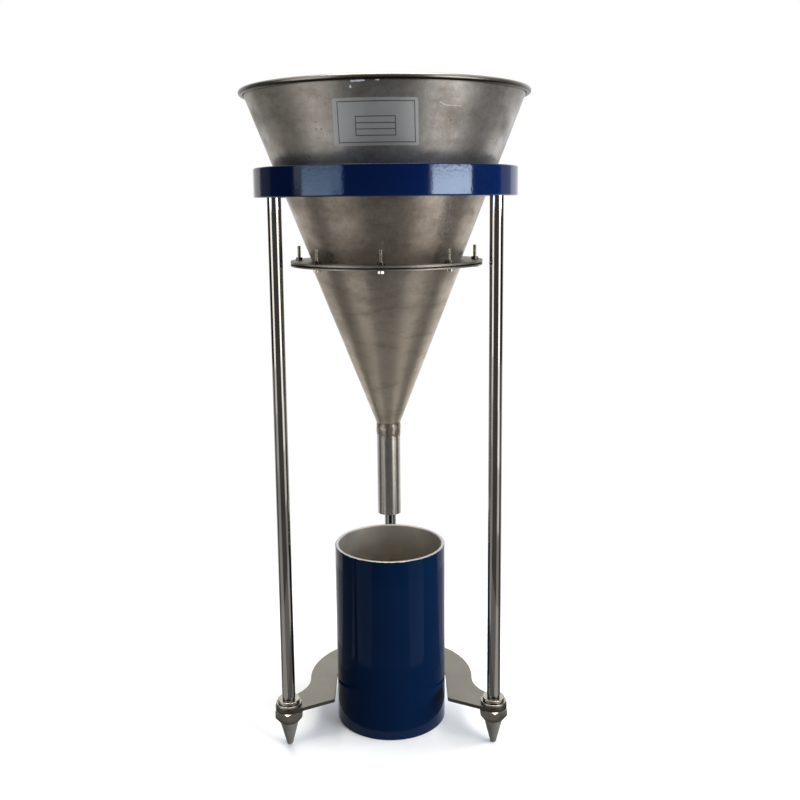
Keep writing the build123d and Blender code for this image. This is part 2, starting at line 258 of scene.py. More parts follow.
def from_axis(tree, place):
    """The distance from the funnel's axis."""
    flat = add_node(tree, "ShaderNodeVectorMath", {"operation": "MULTIPLY", 1: (1.0, 1.0, 0.0)}, {0: place})
    reach = add_node(tree, "ShaderNodeVectorMath", {"operation": "LENGTH"}, {0: flat.outputs[0]})
    return reach.outputs["Value"]


# Blue enamel: a deep navy under a clear gloss, with a faint orange peel about 2 mm across
blue_enamel, tree, surface, place = new_finish("blue_enamel", {
    "IOR": 1.5, "Specular Tint": linear("#e0f0ff"),
})
drift = add_node(tree, "ShaderNodeTexNoise", {"Scale": 1 / (40 * MM), "Detail": 2.0}, {"Vector": place})
peel = add_node(tree, "ShaderNodeTexNoise", {"Scale": 1 / (2.2 * MM), "Detail": 1.0}, {"Vector": place})
tone = add_node(
    tree, "ShaderNodeMix", {"data_type": "RGBA", 6: linear("#04163a"), 7: linear("#051a43")},
    {0: drift.outputs["Fac"]},
)
radius = from_axis(tree, place)
height = add_node(tree, "ShaderNodeSeparateXYZ", {}, {0: place})
rub = add_node(
    tree, "ShaderNodeMapRange",
    {"From Min": seat_wear_radius, "From Max": seat_wear_radius - wear_fade}, {"Value": radius},
)
in_seat = add_node(
    tree, "ShaderNodeMapRange",
    {"From Min": ring_high.z - seat_depth - wear_overlap, "From Max": ring_high.z - seat_depth + wear_fade},
    {"Value": height.outputs["Z"]},
)
patches = add_node(tree, "ShaderNodeTexNoise", {"Scale": 1 / (6 * MM), "Detail": 5.0}, {"Vector": place})
patches = add_node(
    tree, "ShaderNodeMapRange", {"From Min": 0.46, "From Max": 0.56}, {"Value": patches.outputs["Fac"]},
)
rub = add_node(tree, "ShaderNodeMath", {"operation": "MULTIPLY"}, {0: rub.outputs[0], 1: in_seat.outputs[0]})
rub = add_node(tree, "ShaderNodeMath", {"operation": "MULTIPLY"}, {0: rub.outputs[0], 1: patches.outputs[0]})
tone = add_node(
    tree, "ShaderNodeMix", {"data_type": "RGBA", 7: linear("#8f8c86")},
    {0: rub.outputs[0], 6: tone.outputs[2]},
)
gloss = add_node(tree, "ShaderNodeMapRange", {"To Min": 0.1, "To Max": 0.3}, {"Value": rub.outputs[0]})
skin = add_node(
    tree, "ShaderNodeBump", {"Strength": 0.5, "Distance": 0.07 * MM}, {"Height": peel.outputs["Fac"]},
)
join(tree, surface, {
    "Base Color": tone.outputs[2], "Metallic": rub.outputs[0], "Roughness": gloss.outputs[0],
    "Normal": skin.outputs[0],
})
dress(blue_enamel, "support_ring")

# Upper cone
# Stainless sheet rolled to a cone, welded up the back and ground, with its top edge curled outwards.
# It has been used for years, so it is stained, and plaster has dried on it under the rim.
rim_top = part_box("upper_cone")[1].z
rim_reach = 113.5 * MM
curl_low = rim_top - 6.5 * MM
curl_middle = rim_top - 2.1 * MM
curl_fade_up = 1.5 * MM
curl_fade_out = 1 * MM
# The painted shade under the curl fades in between these depths below the curl's middle
curl_shade_start = 0.4 * MM
curl_shade_full = 1.3 * MM
seam_half_width = 2.2 * MM
seam_core = seam_half_width * 0.6
ground_roughness = 0.28
dust_film = 0.07
wiped_patch = Vector((-74.0, -76.0, 520.0)) * MM
wiped_reach = 75 * MM
wiped_core = 15 * MM
wiped_share = 0.25
# Painted light lightens the lower cone between these two heights
lit_tip_top = 425 * MM
lit_tip_bottom = 270 * MM
lit_tip_share = 0.8
smear_cover = 0.3

# A plaster mark runs from one point to another and has a half width, all in mm, and a share that it covers
plaster_roughness = 0.7
ragged_edge = 0.5 * MM
full_cover_share = 0.5
plaster_marks = [
    ((-22.7, -111.3, 539.2), (-13.6, -112.9, 539.4), 0.8, 1.0),
    ((-23.3, -109.8, 535.4), (-23.2, -110.0, 536.0), 0.9, 1.0),
    ((-5.2, -113.6, 539.7), (-3.4, -113.7, 539.7), 0.6, 1.0),
    ((40.0, -100.6, 525.7), (44.4, -97.9, 523.5), 0.35, 0.4),
    ((44.4, -97.9, 523.5), (57.0, -91.1, 523.4), 0.3, 0.4),
]
rust_spots = [(-49.9, -90.5, 513.1), (-49.5, -88.6, 508.3), (-45.8, -90.6, 508.1), (48.4, -91.5, 513.4)]
rust_spot_radius = 0.9 * MM

# Satin stainless sheet: a soft grey with cloudy stains, and rolling lines drawn 1.2 mm wide to show
satin_sheet, tree, surface, place = new_finish("satin_funnel_sheet", {"Metallic": 1.0})
cloud = add_node(
    tree, "ShaderNodeTexNoise", {"Scale": 1 / (38 * MM), "Detail": 5.0, "Roughness": 0.6}, {"Vector": place},
)
cloud = add_node(
    tree, "ShaderNodeMapRange", {"From Min": 0.32, "From Max": 0.68}, {"Value": cloud.outputs["Fac"]},
)
along = add_node(
    tree, "ShaderNodeMapping", {"Scale": (1 / (1.2 * MM), 1 / (1.2 * MM), 1 / (60 * MM))}, {"Vector": place},
)
lines = add_node(tree, "ShaderNodeTexNoise", {"Scale": 1.0, "Detail": 3.0}, {"Vector": along.outputs[0]})
wiped = add_node(
    tree, "ShaderNodeMapping", {"Scale": (1 / (34 * MM), 1 / (34 * MM), 1 / (16 * MM))}, {"Vector": place},
)
wiped = add_node(
    tree, "ShaderNodeTexNoise", {"Scale": 1.0, "Detail": 3.0, "Roughness": 0.5}, {"Vector": wiped.outputs[0]},
)
wiped = add_node(
    tree, "ShaderNodeMapRange", {"From Min": 0.34, "From Max": 0.66}, {"Value": wiped.outputs["Fac"]},
)
stain = add_node(
    tree, "ShaderNodeMix", {"data_type": "FLOAT", 0: 0.45}, {2: cloud.outputs[0], 3: wiped.outputs[0]},
)
tone = add_node(
    tree, "ShaderNodeMix", {"data_type": "RGBA", 6: linear("#86817a"), 7: linear("#c3c1bf")},
    {0: stain.outputs[0]},
)
speckle = add_node(
    tree, "ShaderNodeTexNoise", {"Scale": 1 / (4.5 * MM), "Detail": 5.0, "Roughness": 0.7}, {"Vector": place},
)
speckle = add_node(
    tree, "ShaderNodeMapRange", {"From Min": 0.3, "From Max": 0.7, "To Min": 0.86, "To Max": 1.12},
    {"Value": speckle.outputs["Fac"]},
)
rolled = add_node(
    tree, "ShaderNodeMapRange", {"From Min": 0.3, "From Max": 0.7, "To Min": 0.93, "To Max": 1.06},
    {"Value": lines.outputs["Fac"]},
)
rolled = add_node(
    tree, "ShaderNodeMath", {"operation": "MULTIPLY"}, {0: speckle.outputs[0], 1: rolled.outputs[0]},
)
tone = add_node(
    tree, "ShaderNodeMix", {"data_type": "RGBA", "blend_type": "MULTIPLY", 0: 1.0},
    {6: tone.outputs[2], 7: rolled.outputs[0]},
)
dull = add_node(tree, "ShaderNodeMapRange", {"To Min": 0.44, "To Max": 0.25}, {"Value": stain.outputs[0]})
streak = add_node(
    tree, "ShaderNodeMapRange", {"To Min": -0.06, "To Max": 0.06}, {"Value": lines.outputs["Fac"]},
)
dull = add_node(tree, "ShaderNodeMath", {"operation": "ADD"}, {0: dull.outputs[0], 1: streak.outputs[0]})

# Below the support ring the sheet is a shade yellower than above it
split = add_node(tree, "ShaderNodeSeparateXYZ", {}, {0: place})
yellowed = add_node(
    tree, "ShaderNodeMapRange", {"From Min": ring_high.z, "From Max": ring_low.z},
    {"Value": split.outputs["Z"]},
)
tone = add_node(
    tree, "ShaderNodeMix", {"data_type": "RGBA", "blend_type": "MULTIPLY", 7: linear("#fff5ea")},
    {0: yellowed.outputs[0], 6: tone.outputs[2]},
)

# Hands have wiped a patch beside the name plate. Painted light makes the lower cone lighter towards its tip.
patch = add_node(tree, "ShaderNodeVectorMath", {"operation": "DISTANCE", 1: wiped_patch}, {0: place})
patch = add_node(
    tree, "ShaderNodeMapRange", {
        "interpolation_type": "SMOOTHSTEP", "From Min": wiped_reach, "From Max": wiped_core,
        "To Max": wiped_share,
    },
    {"Value": patch.outputs["Value"]},
)
lit_tip = add_node(
    tree, "ShaderNodeMapRange", {"From Min": lit_tip_top, "From Max": lit_tip_bottom, "To Max": lit_tip_share},
    {"Value": split.outputs["Z"]},
)
wiped_and_lit = add_node(tree, "ShaderNodeMath", {"operation": "MAXIMUM"}, {0: patch.outputs[0], 1: lit_tip.outputs[0]})
tone = add_node(
    tree, "ShaderNodeMix", {"data_type": "RGBA", 7: linear("#d6cdbb")},
    {0: wiped_and_lit.outputs[0], 6: tone.outputs[2]},
)

# Damp powder has been smeared round the sheet and has dried in dark flecks
smear = add_node(
    tree, "ShaderNodeMapping", {"Scale": (1 / (20 * MM), 1 / (20 * MM), 1 / (7 * MM))}, {"Vector": place},
)
smear = add_node(
    tree, "ShaderNodeTexNoise", {"Scale": 1.0, "Detail": 6.0, "Roughness": 0.65},
    {"Vector": smear.outputs[0]},
)
smear = add_node(
    tree, "ShaderNodeMapRange", {"From Min": 0.5, "From Max": 0.68, "To Max": smear_cover},
    {"Value": smear.outputs["Fac"]},
)
tone = add_node(
    tree, "ShaderNodeMix", {"data_type": "RGBA", 7: linear("#5a5148")},
    {0: smear.outputs[0], 6: tone.outputs[2]},
)

# The seam up the back is ground bright, and so is the curl of the rim
radius = from_axis(tree, place)
aside = add_node(tree, "ShaderNodeMath", {"operation": "ABSOLUTE"}, {0: split.outputs["X"]})
seam = add_node(
    tree, "ShaderNodeMapRange", {"From Min": seam_half_width, "From Max": seam_core},
    {"Value": aside.outputs[0]},
)
behind = add_node(tree, "ShaderNodeMath", {"operation": "GREATER_THAN", 1: 0.0}, {0: split.outputs["Y"]})
seam = add_node(tree, "ShaderNodeMath", {"operation": "MULTIPLY"}, {0: seam.outputs[0], 1: behind.outputs[0]})
over = add_node(
    tree, "ShaderNodeMapRange", {"From Min": curl_low, "From Max": curl_low + curl_fade_up},
    {"Value": split.outputs["Z"]},
)
outside = add_node(
    tree, "ShaderNodeMapRange", {"From Min": rim_reach, "From Max": rim_reach + curl_fade_out},
    {"Value": radius},
)
curl = add_node(
    tree, "ShaderNodeMath", {"operation": "MULTIPLY"}, {0: over.outputs[0], 1: outside.outputs[0]},
)
bright = add_node(tree, "ShaderNodeMath", {"operation": "MAXIMUM"}, {0: seam.outputs[0], 1: curl.outputs[0]})
tone = add_node(
    tree, "ShaderNodeMix", {"data_type": "RGBA", 7: linear("#8f8a81")},
    {0: bright.outputs[0], 6: tone.outputs[2]},
)
dull = add_node(
    tree, "ShaderNodeMix", {"data_type": "FLOAT", 3: ground_roughness},
    {0: bright.outputs[0], 2: dull.outputs[0]},
)

# Painted shade darkens the sheet under the curl, where no cloth reaches
under = add_node(
    tree, "ShaderNodeMapRange", {"From Min": curl_middle - curl_shade_start, "From Max": curl_middle - curl_shade_full},
    {"Value": split.outputs["Z"]},
)
curl_shade = add_node(tree, "ShaderNodeMath", {"operation": "MULTIPLY"}, {0: under.outputs[0], 1: curl.outputs[0]})
tone = add_node(
    tree, "ShaderNodeMix", {"data_type": "RGBA", 7: linear("#2b2823")},
    {0: curl_shade.outputs[0], 6: tone.outputs[2]},
)

# Each mark is near a line or a point on the sheet, with a ragged edge
ragged = add_node(tree, "ShaderNodeTexNoise", {"Scale": 1 / (1.5 * MM), "Detail": 2.0}, {"Vector": place})
ragged = add_node(
    tree, "ShaderNodeMapRange", {"To Min": ragged_edge, "To Max": -ragged_edge},
    {"Value": ragged.outputs["Fac"]},
)
plaster = add_node(tree, "ShaderNodeMath", {"operation": "ADD", 0: 0.0, 1: 0.0})
for start, end, half_width, cover in plaster_marks:
    start, run = Vector(start) * MM, (Vector(end) - Vector(start)) * MM
    offset = add_node(tree, "ShaderNodeVectorMath", {"operation": "SUBTRACT", 1: start}, {0: place})
    share = add_node(
        tree, "ShaderNodeVectorMath", {"operation": "DOT_PRODUCT", 1: run / run.length_squared},
        {0: offset.outputs[0]},
    )
    share = add_node(tree, "ShaderNodeMapRange", {}, {"Value": share.outputs["Value"]})
    nearest = add_node(
        tree, "ShaderNodeVectorMath", {"operation": "SCALE", 0: run}, {"Scale": share.outputs[0]},
    )
    gap = add_node(
        tree, "ShaderNodeVectorMath", {"operation": "DISTANCE"},
        {0: offset.outputs[0], 1: nearest.outputs[0]},
    )
    gap = add_node(
        tree, "ShaderNodeMath", {"operation": "ADD"}, {0: gap.outputs["Value"], 1: ragged.outputs[0]},
    )
    mark = add_node(
        tree, "ShaderNodeMapRange",
        {"From Min": half_width * MM, "From Max": half_width * MM * full_cover_share, "To Max": cover},
        {"Value": gap.outputs[0]},
    )
    plaster = add_node(
        tree, "ShaderNodeMath", {"operation": "MAXIMUM"}, {0: plaster.outputs[0], 1: mark.outputs[0]},
    )
rust = add_node(tree, "ShaderNodeMath", {"operation": "ADD", 0: 0.0, 1: 0.0})
for spot in rust_spots:
    gap = add_node(
        tree, "ShaderNodeVectorMath", {"operation": "DISTANCE", 1: Vector(spot) * MM}, {0: place},
    )
    gap = add_node(
        tree, "ShaderNodeMath", {"operation": "ADD"}, {0: gap.outputs["Value"], 1: ragged.outputs[0]},
    )
    mark = add_node(
        tree, "ShaderNodeMapRange", {"From Min": rust_spot_radius, "From Max": 0.0},
        {"Value": gap.outputs[0]},
    )
    rust = add_node(
        tree, "ShaderNodeMath", {"operation": "MAXIMUM"}, {0: rust.outputs[0], 1: mark.outputs[0]},
    )
tone = add_node(
    tree, "ShaderNodeMix", {"data_type": "RGBA", 7: linear("#5e4630")},
    {0: rust.outputs[0], 6: tone.outputs[2]},
)
tone = add_node(
    tree, "ShaderNodeMix", {"data_type": "RGBA", 7: linear("#efece6")},
    {0: plaster.outputs[0], 6: tone.outputs[2]},
)
dull = add_node(
    tree, "ShaderNodeMix", {"data_type": "FLOAT", 3: plaster_roughness},
    {0: plaster.outputs[0], 2: dull.outputs[0]},
)
metal = add_node(
    tree, "ShaderNodeMapRange", {"To Min": 1 - dust_film, "To Max": 0.0}, {"Value": plaster.outputs[0]},
)
rolling = add_node(
    tree, "ShaderNodeBump", {"Strength": 0.3, "Distance": 0.03 * MM}, {"Height": lines.outputs["Fac"]},
)
dents = add_node(tree, "ShaderNodeTexNoise", {"Scale": 1 / (45 * MM), "Detail": 1.0}, {"Vector": place})
dents = add_node(
    tree, "ShaderNodeBump", {"Strength": 0.5, "Distance": 1.2 * MM},
    {"Height": dents.outputs["Fac"], "Normal": rolling.outputs[0]},
)
join(tree, surface, {
    "Base Color": tone.outputs[2], "Roughness": dull.outputs[0], "Metallic": metal.outputs[0],
    "Normal": dents.outputs[0],
})
dress(satin_sheet, "upper_cone", "lower_cone")

# Name plate
# A thin plate of bare aluminium, bent round the front of the upper cone and glued to it.
# Only its printed border and three empty boxes are on it.
plate_turn = radians(3.4)
name_low, name_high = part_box("name_plate")
name_middle = (name_low.z + name_high.z) / 2
line_half_width = 0.4 * MM
line_core = 0.15 * MM

# Each printed outline has a centre and a half width and height, in mm
printed_boxes = [
    ((0.6, 0.0), (27.6, 13.9)),
    ((0.0, 1.6), (14.3, 2.2)),
    ((0.0, -2.7), (14.3, 2.1)),
    ((0.0, -7.0), (14.3, 2.2)),
]

# Bare aluminium: cool silver, matt from etching, with thin grey lines printed on it
etched_aluminium, tree, surface, place = new_finish("etched_aluminium", {"Metallic": 1.0})
faced = add_node(
    tree, "ShaderNodeMapping",
    {"vector_type": "POINT", "Rotation": (0.0, 0.0, plate_turn), "Location": (0.0, 0.0, -name_middle)},
    {"Vector": place},
)
faced = add_node(
    tree, "ShaderNodeVectorMath", {"operation": "MULTIPLY", 1: (1.0, 0.0, 1.0)}, {0: faced.outputs[0]},
)
ink = add_node(tree, "ShaderNodeMath", {"operation": "ADD", 0: 0.0, 1: 0.0})
for (centre_x, centre_z), (half_width, half_height) in printed_boxes:
    offset = add_node(
        tree, "ShaderNodeVectorMath",
        {"operation": "SUBTRACT", 1: (centre_x * MM, 0.0, centre_z * MM)}, {0: faced.outputs[0]},
    )
    offset = add_node(tree, "ShaderNodeVectorMath", {"operation": "ABSOLUTE"}, {0: offset.outputs[0]})
    offset = add_node(
        tree, "ShaderNodeVectorMath",
        {"operation": "SUBTRACT", 1: (half_width * MM, 1.0, half_height * MM)}, {0: offset.outputs[0]},
    )
    offset = add_node(tree, "ShaderNodeSeparateXYZ", {}, {0: offset.outputs[0]})
    outline = add_node(
        tree, "ShaderNodeMath", {"operation": "MAXIMUM"}, {0: offset.outputs["X"], 1: offset.outputs["Z"]},
    )
    outline = add_node(tree, "ShaderNodeMath", {"operation": "ABSOLUTE"}, {0: outline.outputs[0]})
    outline = add_node(
        tree, "ShaderNodeMapRange", {"From Min": line_half_width, "From Max": line_core},
        {"Value": outline.outputs[0]},
    )
    ink = add_node(
        tree, "ShaderNodeMath", {"operation": "MAXIMUM"}, {0: ink.outputs[0], 1: outline.outputs[0]},
    )
cloud = add_node(tree, "ShaderNodeTexNoise", {"Scale": 1 / (14 * MM), "Detail": 4.0}, {"Vector": place})
grain = add_node(tree, "ShaderNodeTexNoise", {"Scale": 1 / (0.5 * MM), "Detail": 2.0}, {"Vector": place})
tone = add_node(
    tree, "ShaderNodeMix", {"data_type": "RGBA", 6: linear("#c0c3c6"), 7: linear("#d3d6da")},
    {0: cloud.outputs["Fac"]},
)
tone = add_node(
    tree, "ShaderNodeMix", {"data_type": "RGBA", 7: linear("#4d5056")},
    {0: ink.outputs[0], 6: tone.outputs[2]},
)
matt = add_node(tree, "ShaderNodeMapRange", {"To Min": 0.42, "To Max": 0.58}, {"Value": grain.outputs["Fac"]})
join(tree, surface, {"Base Color": tone.outputs[2], "Roughness": matt.outputs[0]})
dress(etched_aluminium, "name_plate")

# Flanges and gasket
# Two stainless rings, one welded to each cone, faced on a lathe and left bright.
# A thin black rubber gasket seals the sieve between them.

# Turned flange: a soft shine broken by fine rings round the axis, drawn 0.8 mm apart to show
turned_flange, tree, surface, place = new_finish("turned_flange_steel", {"Metallic": 1.0})
radius = from_axis(tree, place)
rings = add_node(
    tree, "ShaderNodeTexNoise", {"noise_dimensions": "1D", "Scale": 1 / (0.8 * MM), "Detail": 2.0},
    {"W": radius},
)
smear = add_node(tree, "ShaderNodeTexNoise", {"Scale": 1 / (18 * MM), "Detail": 4.0}, {"Vector": place})
tone = add_node(
    tree, "ShaderNodeMix", {"data_type": "RGBA", 6: linear("#8d877e"), 7: linear("#a8a299")},
    {0: smear.outputs["Fac"]},
)
gloss = add_node(tree, "ShaderNodeMapRange", {"To Min": 0.4, "To Max": 0.58}, {"Value": smear.outputs["Fac"]})
turning = add_node(
    tree, "ShaderNodeBump", {"Strength": 0.2, "Distance": 0.02 * MM}, {"Height": rings.outputs["Fac"]},
)
join(tree, surface, {
    "Base Color": tone.outputs[2], "Roughness": gloss.outputs[0], "Normal": turning.outputs[0],
})
dress(turned_flange, "upper_flange", "lower_flange")

# Black rubber: matt, with pale dust in its grain
black_rubber, tree, surface, place = new_finish("black_gasket_rubber", {"IOR": 1.5})
dust = add_node(tree, "ShaderNodeTexNoise", {"Scale": 1 / (1.5 * MM), "Detail": 4.0}, {"Vector": place})
tone = add_node(
    tree, "ShaderNodeMix", {"data_type": "RGBA", 6: linear("#090909"), 7: linear("#131211")},
    {0: dust.outputs["Fac"]},
)
matt = add_node(tree, "ShaderNodeMapRange", {"To Min": 0.6, "To Max": 0.9}, {"Value": dust.outputs["Fac"]})
join(tree, surface, {"Base Color": tone.outputs[2], "Roughness": matt.outputs[0]})
dress(black_rubber, "gasket")

# Sieve
# Plain-woven stainless wire cloth with 2 mm openings, cut to a disc and clamped between the flanges.
# Lumps stay on it, and the loose powder falls through to the lower cone.
sieve_low, sieve_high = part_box("sieve")
sieve_level = (sieve_low.z + sieve_high.z) / 2
wire_diameter = 0.6 * MM
cloth_pitch = 2.6 * MM
cloth_radius = 60.2 * MM
clamped_radius = sieve_high.x - 2 * MM
cell_steps = 4
wire_sides = 6
band_segments = 96


def ring_points(radius, level, count):
    """Points round the funnel's axis."""
    turns = [2 * pi * step / count for step in range(count)]
    return [Vector((radius * cos(turn), radius * sin(turn), level)) for turn in turns]


def loft(name, rings, ends, material, sharp_angle=35):
    """A mesh over closed rings of equal count, with capped ends or with the last ring joined to the first."""
    count = len(rings[0])
    faces = []
    pairs = list(zip(range(len(rings)), range(1, len(rings))))
    if ends == "joined":
        pairs.append((len(rings) - 1, 0))
    for lower, upper in pairs:
        for step in range(count):
            beside = (step + 1) % count
            faces.append((
                lower * count + step, lower * count + beside, upper * count + beside, upper * count + step,
            ))
    if ends == "capped":
        faces.append(tuple(reversed(range(count))))
        faces.append(tuple(range((len(rings) - 1) * count, len(rings) * count)))
    mesh = bpy.data.meshes.new(name)
    mesh.from_pydata([point for ring in rings for point in ring], [], faces)
    shape = bmesh.new()
    shape.from_mesh(mesh)
    bmesh.ops.recalc_face_normals(shape, faces=shape.faces)
    shape.to_mesh(mesh)
    shape.free()
    mesh.shade_smooth()
    mesh.set_sharp_from_angle(angle=radians(sharp_angle))
    mesh.materials.append(material)
    return mesh


def new_tree(name, inputs):
    """A geometry tree with a geometry input and output, and named inputs for its sizes."""
    tree = bpy.data.node_groups.new(name, "GeometryNodeTree")
    tree.interface.new_socket("Geometry", in_out="OUTPUT", socket_type="NodeSocketGeometry")
    tree.interface.new_socket("Geometry", in_out="INPUT", socket_type="NodeSocketGeometry")
    for label, kind in inputs.items():
        tree.interface.new_socket(label, in_out="INPUT", socket_type=kind)
    return tree, add_node(tree, "NodeGroupInput", {}).outputs


def put(name, data):
    """A new object in the scene."""
    piece = bpy.data.objects.new(name, data)
    bpy.context.scene.collection.objects.link(piece)
    return piece


def grow(name, mesh, tree, values):
    """A piece whose mesh a geometry tree makes from the mesh of one of its repeats."""
    piece = put(name, mesh)
    modifier = piece.modifiers.new(tree.name, "NODES")
    modifier.node_group = tree
    for socket in tree.interface.items_tree:
        if socket.in_out == "INPUT" and socket.name in values:
            modifier[socket.identifier] = values[socket.name]
    made = bpy.data.meshes.new_from_object(piece.evaluated_get(bpy.context.evaluated_depsgraph_get()))
    piece.modifiers.remove(modifier)
    piece.data = made
    return piece


# Drawn stainless wire: bright on its crowns and dull with dust in between
drawn_wire, tree, surface, place = new_finish("drawn_wire_steel", {"Metallic": 1.0})
dust = add_node(tree, "ShaderNodeTexNoise", {"Scale": 1 / (9 * MM), "Detail": 4.0}, {"Vector": place})
tone = add_node(
    tree, "ShaderNodeMix", {"data_type": "RGBA", 6: linear("#9d988f"), 7: linear("#c2beb5")},
    {0: dust.outputs["Fac"]},
)
gloss = add_node(tree, "ShaderNodeMapRange", {"To Min": 0.18, "To Max": 0.42}, {"Value": dust.outputs["Fac"]})
join(tree, surface, {"Base Color": tone.outputs[2], "Roughness": gloss.outputs[0]})

# One crossing of the weave: a wire along X bowed up over a wire along Y bowed down
cell = bmesh.new()
for turn, side in ((0.0, 1.0), (pi / 2, -1.0)):
    rows = []
    for step in range(cell_steps + 1):
        share = step / cell_steps - 0.5
        lift = sieve_level + side * wire_diameter / 2 * cos(pi * share)
        row = []
        for corner in range(wire_sides):
            angle = 2 * pi * corner / wire_sides
            point = Vector((
                share * cloth_pitch, wire_diameter / 2 * cos(angle), lift + wire_diameter / 2 * sin(angle),
            ))
            row.append(cell.verts.new(Matrix.Rotation(turn, 3, "Z") @ point))
        rows.append(row)
    for near, far in zip(rows, rows[1:]):
        for corner in range(wire_sides):
            beside = (corner + 1) % wire_sides
            cell.faces.new((near[corner], far[corner], far[beside], near[beside]))
bmesh.ops.recalc_face_normals(cell, faces=cell.faces)
cell_mesh = bpy.data.meshes.new("cloth_crossing")
cell.to_mesh(cell_mesh)
cell.free()
cell_mesh.shade_smooth()

# The crossings fill a disc, and every second one is turned so that the wires go over and under
tree, sizes = new_tree("woven_cloth", {
    "Rows": "NodeSocketInt", "Pitch": "NodeSocketFloat", "Open Radius": "NodeSocketFloat",
    "Weld Distance": "NodeSocketFloat", "Finish": "NodeSocketMaterial",
})
spans = add_node(tree, "ShaderNodeMath", {"operation": "SUBTRACT", 1: 1.0}, {0: sizes["Rows"]})
reach = add_node(tree, "ShaderNodeMath", {"operation": "MULTIPLY"}, {0: spans.outputs[0], 1: sizes["Pitch"]})
grid = add_node(tree, "GeometryNodeMeshGrid", {}, {
    "Size X": reach.outputs[0], "Size Y": reach.outputs[0],
    "Vertices X": sizes["Rows"], "Vertices Y": sizes["Rows"],
})
spot = add_node(tree, "GeometryNodeInputPosition", {})
distance = add_node(tree, "ShaderNodeVectorMath", {"operation": "LENGTH"}, {0: spot.outputs[0]})
beyond = add_node(
    tree, "ShaderNodeMath", {"operation": "GREATER_THAN"},
    {0: distance.outputs["Value"], 1: sizes["Open Radius"]},
)
disc = add_node(
    tree, "GeometryNodeDeleteGeometry", {"domain": "POINT"},
    {"Geometry": grid.outputs["Mesh"], "Selection": beyond.outputs[0]},
)
split = add_node(tree, "ShaderNodeSeparateXYZ", {}, {0: spot.outputs[0]})
count = add_node(tree, "ShaderNodeMath", {"operation": "ADD"}, {0: split.outputs["X"], 1: split.outputs["Y"]})
count = add_node(tree, "ShaderNodeMath", {"operation": "DIVIDE"}, {0: count.outputs[0], 1: sizes["Pitch"]})
count = add_node(tree, "ShaderNodeMath", {"operation": "ROUND"}, {0: count.outputs[0]})
odd = add_node(tree, "ShaderNodeMath", {"operation": "FLOORED_MODULO", 1: 2.0}, {0: count.outputs[0]})
turn = add_node(tree, "ShaderNodeMath", {"operation": "MULTIPLY", 1: pi / 2}, {0: odd.outputs[0]})
turn = add_node(tree, "ShaderNodeCombineXYZ", {}, {"Z": turn.outputs[0]})
crossings = add_node(tree, "GeometryNodeInstanceOnPoints", {}, {
    "Points": disc.outputs[0], "Instance": sizes["Geometry"], "Rotation": turn.outputs[0],
})
real = add_node(tree, "GeometryNodeRealizeInstances", {}, {0: crossings.outputs[0]})
welded = add_node(
    tree, "GeometryNodeMergeByDistance", {},
    {"Geometry": real.outputs[0], "Distance": sizes["Weld Distance"]},
)
finished = add_node(
    tree, "GeometryNodeSetMaterial", {}, {"Geometry": welded.outputs[0], "Material": sizes["Finish"]},
)
add_node(tree, "NodeGroupOutput", {}, {0: finished.outputs[0]})
sieve_cloth = grow("sieve_cloth", cell_mesh, tree, {
    "Rows": 2 * int(cloth_radius / cloth_pitch) + 3, "Pitch": cloth_pitch, "Open Radius": cloth_radius,
    "Weld Distance": 0.01 * MM, "Finish": drawn_wire,
})
shape = bmesh.new()
shape.from_mesh(sieve_cloth.data)
bmesh.ops.holes_fill(shape, edges=[edge for edge in shape.edges if edge.is_boundary], sides=wire_sides)
shape.to_mesh(sieve_cloth.data)
shape.free()
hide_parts("sieve")
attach(sieve_cloth, "funnel")

# The cloth is pressed flat where the flanges clamp it
clamped = loft("sieve_clamped_edge", [
    ring_points(cloth_radius, sieve_low.z, band_segments),
    ring_points(clamped_radius, sieve_low.z, band_segments),
    ring_points(clamped_radius, sieve_high.z, band_segments),
    ring_points(cloth_radius, sieve_high.z, band_segments),
], "joined", drawn_wire)
clamped_edge = put("sieve_clamped_edge", clamped)
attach(clamped_edge, "funnel")

# Flange screws and nuts
# Eight M3 hexagon screws come up through both flanges, each with a nut on the upper one.
# They are stainless, and the longer ends of their threads stand clear of the nuts.
flange_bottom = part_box("lower_flange")[0].z
flange_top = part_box("upper_flange")[1].z
screw_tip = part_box("flange_screws")[1].z
screw_head_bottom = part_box("flange_screws")[0].z
nut_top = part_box("flange_nuts")[1].z
screw_circle = 73.5 * MM
first_screw = radians(-93)
screw_count = 8
flats = 5.5 * MM
thread_crest = 1.5 * MM
thread_root = 1.2 * MM
thread_pitch = 0.5 * MM
thread_run_out = 0.4
thread_clearance = 0.05 * MM
tip_narrowing = 0.8
head_face = 0.96
nut_face = 0.98
nut_countersink = 0.25 * MM
chamfer_slope = tan(radians(30))
corner_cut = radians(5)
rows_in_pitch = 4
columns = 24


def hexagon(flats, level, chamfer):
    """Points round a hexagon with its corners cut off, and turned back by the slope of the chamfer."""
    points = []
    for side in range(6):
        for aside in (corner_cut - pi / 6, -pi / 12, pi / 12, pi / 6 - corner_cut):
            turn = side * pi / 3 + pi / 6 + aside
            reach = flats / 2 / cos(aside)
            height = level + (reach - flats / 2) * chamfer
            points.append(Vector((reach * cos(turn), reach * sin(turn), height)))
    return points


